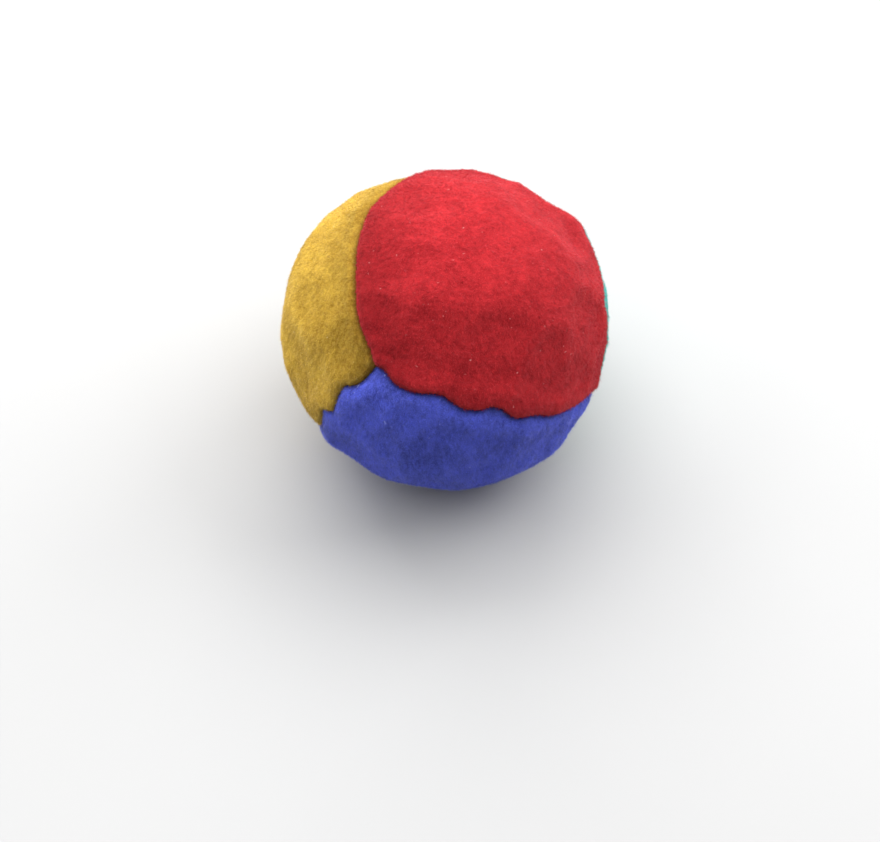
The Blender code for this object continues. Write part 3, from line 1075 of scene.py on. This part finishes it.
class BALL_OT_raise_nap(bpy.types.Operator):
    """Raises the suede's nap: short fibres that lie down the way the ball was stroked"""

    bl_idname = "ball.raise_nap"
    bl_label = "Raise Nap"

    first_seed = 11
    bare_height = 0.6 * MM  # no fibre grows this close to the floor
    stroked = (0.15, -0.55, -0.75)  # the way it was stroked
    swirl_size, swirl_strength = 6.0 * MM, 3.4
    tuft_size, tuft_strength = 0.8 * MM, 3.2
    stray_strength = 0.7
    lift = 0.9  # how far a fibre stands up for each length that it lies over

    def execute(self, context):
        making = ball_making()
        for number, colour_name in enumerate(PANELS):
            material = suede("nap_" + colour_name, *suede_tones(colour_name), nap=True)
            tree = self.tree(material)
            source = bpy.data.objects[colour_name + "_suede"].data.copy()
            values = {
                "Density": making.nap_density / MM**2,
                "Length": making.nap_length,
                "Width": making.nap_width / 2,
                "Seed": self.first_seed + number,
            }
            mesh = grown(source, tree, colour_name + "_nap", values)
            tips = coordinates(mesh)
            tips[:, 2] = np.maximum(tips[:, 2], CAD_BOX[0][2])
            mesh.vertices.foreach_set("co", tips.ravel())
            piece = add_piece(colour_name + "_nap", mesh)
            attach(piece, BODY)
        return {"FINISHED"}

    def tree(self, material):
        sockets = (("Density", "Float"), ("Length", "Float"), ("Width", "Float"), ("Seed", "Int"))
        tree, graph, entry = new_tree("nap", sockets)
        skin = graph.add("GeometryNodeInputNamedAttribute", {"data_type": "FLOAT"},
                         {"Name": "skin"})
        height = graph.add("ShaderNodeSeparateXYZ", None,
                           {0: graph.add("GeometryNodeInputPosition")}, output=2)
        standing = (height - CAD_BOX[0][2]) / self.bare_height
        on_skin = graph.add("FunctionNodeCompare", {"operation": "GREATER_THAN"},
                            {0: skin * standing.clamped(), 1: 0.999})
        scattered = {0: entry["Geometry"], "Selection": on_skin, 4: entry["Density"],
                     "Seed": entry["Seed"]}
        points = graph.add("GeometryNodeDistributePointsOnFaces", None, scattered)
        normal = Value(graph, points.socket.node.outputs["Normal"])
        place = graph.add("GeometryNodeInputPosition")
        swirl = graph.noise(place, self.swirl_size, 2.0, output=1)
        swirl = graph.vector("SUBTRACT", swirl, (0.5, 0.5, 0.5))
        stroke = graph.vector("SCALE", swirl, scale=self.swirl_strength)
        stroke = graph.vector("ADD", stroke, self.stroked)
        tuft = graph.noise(place, self.tuft_size, 1.0, output=1)
        tuft = graph.vector("SUBTRACT", tuft, (0.5, 0.5, 0.5))
        tuft = graph.vector("SCALE", tuft, scale=self.tuft_strength)
        stroke = graph.vector("ADD", stroke, tuft)
        stray = graph.add("FunctionNodeRandomValue", {"data_type": "FLOAT_VECTOR"},
                          {0: (-1.0, -1.0, -1.0), 1: (1.0, 1.0, 1.0), "Seed": 3})
        stray = graph.vector("SCALE", stray, scale=self.stray_strength)
        stroke = graph.vector("ADD", stroke, stray)
        along = graph.vector("DOT_PRODUCT", stroke, normal, output=1)
        flat = graph.vector("SUBTRACT", stroke, graph.vector("SCALE", normal, scale=along))
        lie = graph.vector("ADD", graph.vector("NORMALIZE", flat),
                           graph.vector("SCALE", normal, scale=self.lift))
        rotation = graph.add("FunctionNodeAlignRotationToVector", {"axis": "Z"}, {2: lie})
        stretch = graph.random(0.0, 1.0, seed=5)
        stretch = 0.5 + stretch * 0.6 + stretch**24 * 0.9  # the power leaves a few long ones
        size = graph.add("ShaderNodeCombineXYZ", None, {
            0: entry["Width"], 1: entry["Width"], 2: entry["Length"] * stretch})
        fibre = graph.add("GeometryNodeMeshCone", {"fill_type": "NGON"},
                          {"Vertices": 3, "Radius Top": 0.0, "Radius Bottom": 1.0, "Depth": 1.0})
        instances = graph.add("GeometryNodeInstanceOnPoints", None, {
            "Points": points, "Instance": fibre, "Rotation": rotation, "Scale": size})
        end_tree(graph, shaded_each(graph, instances), material)
        return tree


class BALL_OT_sew_seams(bpy.types.Operator):
    """Sews the six seams with twisted thread, a knot at each end"""

    bl_idname = "ball.sew_seams"
    bl_label = "Sew Seams"

    def execute(self, context):
        colours = context.scene.ball_colours
        plain = thread_finish("seam_thread", colours.thread)
        closing = thread_finish("closing_thread", colours.closing_thread)
        for seam in SEAMS:
            is_last = seam.pair == CLOSING_SEAM
            name = "_".join(seam.pair)
            curve = path_curve(name, *self.route(seam, CLOSING_HOLES if is_last else MACHINE_HOLES))
            mesh = twisted_thread(curve, name + "_stitches", closing if is_last else plain)
            piece = add_piece(name + "_stitches", mesh)
            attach(piece, BODY)
            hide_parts(("closing_thread_" if is_last else "thread_") + name)
        return {"FINISHED"}

    def route(self, seam, holes):
        """Points and radii of a running stitch through both allowances, knotted at each end."""
        making = ball_making()
        lay = GAP + making.suede + making.thread
        turn = 1.6 * making.thread
        step = turn / seam.length
        knot_lay = lay + (KNOT_SWELL - 1) * making.thread
        margin = SEAM_END / seam.length
        shares = [margin + (1 - 2 * margin) * k / (holes - 1) for k in range(holes)]
        rows = [(shares[0] - past * step, knot_lay, swell) for past, swell in KNOT]
        side = 1
        for share in shares:
            rows.append((share - step, side * lay, 1.0))
            rows.append((share, side * (lay - turn), 1.0))
            rows.append((share, -side * (lay - turn), 1.0))
            rows.append((share + step, -side * lay, 1.0))
            side = -side
        rows += [(shares[-1] + past * step, side * knot_lay, swell)
                 for past, swell in reversed(KNOT)]
        at, offset, swell = (np.array(column) for column in zip(*rows))
        out, along = self.seam_line(seam, at)
        across = unit(np.cross(along, out))
        points = settled(out * (RADIUS - STITCH_DEPTH), STITCH_DEPTH, making.softness)
        return points + across * offset[:, None] + CENTRE, swell

    def seam_line(self, seam, shares):
        """Directions at shares of a seam, and which way it runs there."""
        def directions(at):
            angle = np.clip(at, 0, 1)[:, None] * seam.angle
            return shaped(seam.start * np.cos(angle) + seam.ahead * np.sin(angle))

        return directions(shares), unit(directions(shares + 0.01) - directions(shares - 0.01))


def path_curve(name, points, radii):
    """A bare curve through points, its radius scaling what is later swept along it."""
    curve = bpy.data.curves.new(name, "CURVE")
    curve.dimensions = "3D"
    spline = curve.splines.new("POLY")
    spline.points.add(len(points) - 1)
    for point, place, radius in zip(spline.points, points, radii):
        point.co = (*place, 1.0)
        point.radius = radius
    return curve


def twisted_thread(curve, name, material):
    """Three plies twisted together along a curve, with fine steps and closed ends."""
    making = ball_making()
    sockets = (("Radius", "Float"), ("Twist", "Float"), ("Step", "Float"))
    tree, graph, entry = new_tree("twisted_thread", sockets)
    smooth = graph.add("GeometryNodeCurveSplineType", {"spline_type": "CATMULL_ROM"},
                       {0: entry["Geometry"]})
    steps = graph.add("GeometryNodeResampleCurve", {"mode": "LENGTH"},
                      {0: smooth, "Length": entry["Step"]})
    run = graph.add("GeometryNodeSplineParameter", output=1)
    turned = graph.add("GeometryNodeSetCurveTilt", None,
                       {0: steps, "Tilt": run / entry["Twist"] * (2 * math.pi)})
    ply = graph.add("GeometryNodeCurvePrimitiveCircle", None,
                    {"Resolution": 6, "Radius": entry["Radius"] * PLY_RADIUS})
    join = graph.tree.nodes.new("GeometryNodeJoinGeometry")
    for number in range(PLIES):
        angle = 2 * math.pi * number / PLIES
        place = graph.add("ShaderNodeCombineXYZ", None, {
            0: entry["Radius"] * (PLY_OFFSET * math.cos(angle)),
            1: entry["Radius"] * (PLY_OFFSET * math.sin(angle))})
        moved = graph.add("GeometryNodeTransform", None, {0: ply, "Translation": place})
        graph.tree.links.new(moved.socket, join.inputs[0])
    swell = graph.add("GeometryNodeInputRadius")
    tube = graph.add("GeometryNodeCurveToMesh", None, {
        0: turned, 1: Value(graph, join.outputs[0]), "Scale": swell, "Fill Caps": True})
    shaded = graph.add("GeometryNodeSetShadeSmooth", None, {0: tube})
    end_tree(graph, shaded, material)
    values = {"Radius": making.thread, "Twist": making.twist, "Step": THREAD_STEP}
    return grown(curve, tree, name, values)


class BALL_OT_make_liner(bpy.types.Operator):
    """Makes the cotton bag that keeps the grain off the seams, and the thread at its neck"""

    bl_idname = "ball.make_liner"
    bl_label = "Make Liner"

    wrinkle = 0.12 * MM
    wrinkle_size = 2.6 * MM
    tie_turns = 2
    tie_thinning = 0.8  # the tie's thickness, in thread thicknesses

    def execute(self, context):
        making = ball_making()
        colours = context.scene.ball_colours
        mesh = cad_copy("liner_bag")
        bag = add_piece("cotton_bag", mesh, cotton_finish("liner_cotton", colours.cotton,
                                                          making.weave))
        finer = bag.modifiers.new("finer", "SUBSURF")
        finer.levels = finer.render_levels = 1
        mesh = converted(bag, "cotton_bag")
        points = coordinates(mesh)
        out = unit(points - CENTRE)
        creases = [noise.noise(Vector(place) / self.wrinkle_size) for place in points]
        points += out * (self.wrinkle * (np.array(creases) - 0.6))[:, None]
        mesh.vertices.foreach_set("co", points.ravel())
        bag = add_piece("cotton_bag", smooth_all(mesh))
        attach(bag, BODY)
        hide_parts("liner_bag")
        disc = math.pi * RADIUS - LINER_SEAM  # two such discs are sewn together round their rims
        2 * disc
        math.pi / 2 * disc**2
        self.tie()
        return {"FINISHED"}

    def tie(self):
        """The thread wound round the bag's neck."""
        low, high = (np.array(corner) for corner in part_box("liner_tie"))
        axis = panel_centre("ochre")
        side = unit(np.cross(axis, (0.0, 0.0, 1.0)))
        up = np.cross(axis, side)
        thread = ball_making().thread
        radius = (high - low).max() / 2 - thread
        steps = 20 * self.tie_turns
        points = []
        for step in range(steps + 1):
            angle = 2 * math.pi * self.tie_turns * step / steps
            rise = (step / steps - 0.5) * 2.0 * thread
            arm = side * math.cos(angle) + up * math.sin(angle)
            points.append((low + high) / 2 + arm * radius + axis * rise)
        curve = path_curve("tie", points, [self.tie_thinning] * len(points))
        mesh = twisted_thread(curve, "liner_tie_thread", bpy.data.materials["seam_thread"])
        piece = add_piece("liner_tie_thread", mesh)
        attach(piece, BODY)
        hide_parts("liner_tie")


class BALL_OT_pour_millet(bpy.types.Operator):
    """Fills the bag with millet: a packed core under a layer of separate grains"""

    bl_idname = "ball.pour_millet"
    bl_label = "Pour Millet"

    sink = 0.32  # how far the core draws in to make room for the grains on it, in grains
    spacing = 0.78  # the least between two grains, in grains
    most = 0.9 / MM**2  # grains tried on each square metre
    slimness = 0.8  # a grain's thickness, in its lengths

    def execute(self, context):
        making = ball_making()
        material = millet_finish("millet", context.scene.ball_colours.millet)
        tree = self.tree(material)
        values = {"Grain": making.grain, "Sink": making.grain * self.sink, "Seed": 5}
        mesh = grown(cad_copy("millet_fill"), tree, "millet", values)
        piece = add_piece("millet", mesh)
        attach(piece, BODY)
        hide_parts("millet_fill")
        return {"FINISHED"}

    def tree(self, material):
        sockets = (("Grain", "Float"), ("Sink", "Float"), ("Seed", "Int"))
        tree, graph, entry = new_tree("millet", sockets)
        normal = graph.add("GeometryNodeInputNormal")
        inwards = graph.vector("SCALE", normal, scale=entry["Sink"] * -1.0)
        core = graph.add("GeometryNodeSetPosition", None,
                         {0: entry["Geometry"], "Offset": inwards})
        scattered = {0: core, "Distance Min": entry["Grain"] * self.spacing,
                     "Density Max": self.most, "Seed": entry["Seed"]}
        points = graph.add("GeometryNodeDistributePointsOnFaces",
                           {"distribute_method": "POISSON"}, scattered)
        grain = graph.add("GeometryNodeMeshUVSphere", None,
                          {"Segments": 6, "Rings": 4, "Radius": 0.5})
        turn = graph.add("FunctionNodeRandomValue", {"data_type": "FLOAT_VECTOR"},
                         {0: (0.0, 0.0, 0.0), 1: (6.28, 6.28, 6.28), "Seed": 2})
        rotation = graph.add("FunctionNodeEulerToRotation", None, {0: turn})
        vary = graph.random(0.8, 1.05, seed=4)
        girth = entry["Grain"] * vary * self.slimness
        size = graph.add("ShaderNodeCombineXYZ", None, {0: girth, 1: girth,
                                                        2: entry["Grain"] * vary})
        instances = graph.add("GeometryNodeInstanceOnPoints", None, {
            "Points": points, "Instance": grain, "Rotation": rotation, "Scale": size})
        marked = shaded_each(graph, instances)
        smooth = graph.add("GeometryNodeSetShadeSmooth", None, {0: marked})
        join = graph.tree.nodes.new("GeometryNodeJoinGeometry")
        graph.tree.links.new(smooth.socket, join.inputs[0])
        graph.tree.links.new(core.socket, join.inputs[0])
        end_tree(graph, Value(graph, join.outputs[0]), material)
        return tree


class BALL_OT_set_stage(bpy.types.Operator):
    """Sets the pale table, the soft lights and the camera"""

    bl_idname = "ball.set_stage"
    bl_label = "Set Stage"

    table_half = 1.6
    # The soft boxes: bearing and height in degrees, and size
    boxes = {"key": (101.0, 43.0, 0.9), "left": (163.0, 32.0, 0.7), "right": (27.0, 38.0, 0.7)}
    box_distance = 0.85
    overhead_height, overhead_size = 1.1, 1.2

    def execute(self, context):
        stage = context.scene.ball_stage
        self.table(context.scene.ball_colours.table)
        self.lights(context.scene, stage)
        self.camera(context.scene, stage)
        return {"FINISHED"}

    def table(self, tone):
        bm = bmesh.new()
        bmesh.ops.create_grid(bm, x_segments=8, y_segments=8, size=self.table_half)
        mesh = bpy.data.meshes.new("table")
        bm.to_mesh(mesh)
        bm.free()
        mesh.transform(Matrix.Translation((0, 0, CAD_BOX[0][2])))
        add_piece("table", mesh, floor_finish("table", tone))

    def soft_box(self, name, place, size, watts):
        light = bpy.data.lights.new(name, "AREA")
        light.size = size
        light.energy = watts
        lamp = bpy.data.objects.new(name, light)
        lamp.location = place
        aim = Vector(CENTRE) - lamp.location
        lamp.rotation_euler = aim.to_track_quat("-Z", "Y").to_euler()
        bpy.context.scene.collection.objects.link(lamp)

    def lights(self, scene, stage):
        for name, (bearing, height, size) in self.boxes.items():
            place = CENTRE + from_bearing(bearing, height) * self.box_distance
            self.soft_box(name, place, size, getattr(stage, name))
        overhead = (0.0, 0.0, self.overhead_height)
        self.soft_box("overhead", overhead, self.overhead_size, stage.overhead)
        world = bpy.data.worlds.new("studio")
        world.use_nodes = True
        sky = world.node_tree.nodes["Background"]
        sky.inputs["Color"].default_value = (1.0, 1.0, 1.0, 1.0)
        sky.inputs["Strength"].default_value = stage.sky
        scene.world = world
        scene.view_settings.view_transform = "Standard"

    def camera(self, scene, stage):
        data = bpy.data.cameras.new("camera")
        data.lens = stage.lens
        data.sensor_width = 36.0
        camera = bpy.data.objects.new("camera", data)
        away = Vector((0.0, -math.cos(stage.height), math.sin(stage.height)))
        camera.location = Vector(CENTRE) + away * stage.distance
        turn = (-away).to_track_quat("-Z", "Y")
        aim = turn @ Vector((-math.tan(stage.aim_left), -math.tan(stage.aim_below), -1.0))
        camera.rotation_euler = aim.to_track_quat("-Z", "Y").to_euler()
        scene.collection.objects.link(camera)
        scene.camera = camera


class BALL_PT_making(bpy.types.Panel):
    """Lists the steps that make the ball and the sizes they use"""

    bl_label = "Juggling Ball"
    bl_idname = "BALL_PT_making"
    bl_space_type = "VIEW_3D"
    bl_region_type = "UI"
    bl_category = "Juggling Ball"

    def draw(self, context):
        for step in STEPS:
            self.layout.operator(step.bl_idname)
        for settings in (context.scene.ball_making, context.scene.ball_colours,
                         context.scene.ball_stage):
            box = self.layout.box()
            for name in settings.bl_rna.properties.keys():
                if name not in ("rna_type", "name"):
                    box.prop(settings, name)


STEPS = (
    BALL_OT_set_stage,
    BALL_OT_swell_cover,
    BALL_OT_sew_panels,
    BALL_OT_raise_nap,
    BALL_OT_sew_seams,
    BALL_OT_make_liner,
    BALL_OT_pour_millet,
)
CLASSES = (BallMaking, BallColours, BallStage, *STEPS, BALL_PT_making)


def register():
    for item in CLASSES:
        bpy.utils.register_class(item)
    bpy.types.Scene.ball_making = bpy.props.PointerProperty(type=BallMaking)
    bpy.types.Scene.ball_colours = bpy.props.PointerProperty(type=BallColours)
    bpy.types.Scene.ball_stage = bpy.props.PointerProperty(type=BallStage)


def unregister():
    del bpy.types.Scene.ball_stage
    del bpy.types.Scene.ball_colours
    del bpy.types.Scene.ball_making
    for item in reversed(CLASSES):
        bpy.utils.unregister_class(item)


def main():
    register()
    for step in STEPS:
        group, name = step.bl_idname.split(".")
        getattr(getattr(bpy.ops, group), name)()


if __name__ == "__main__":
    main()
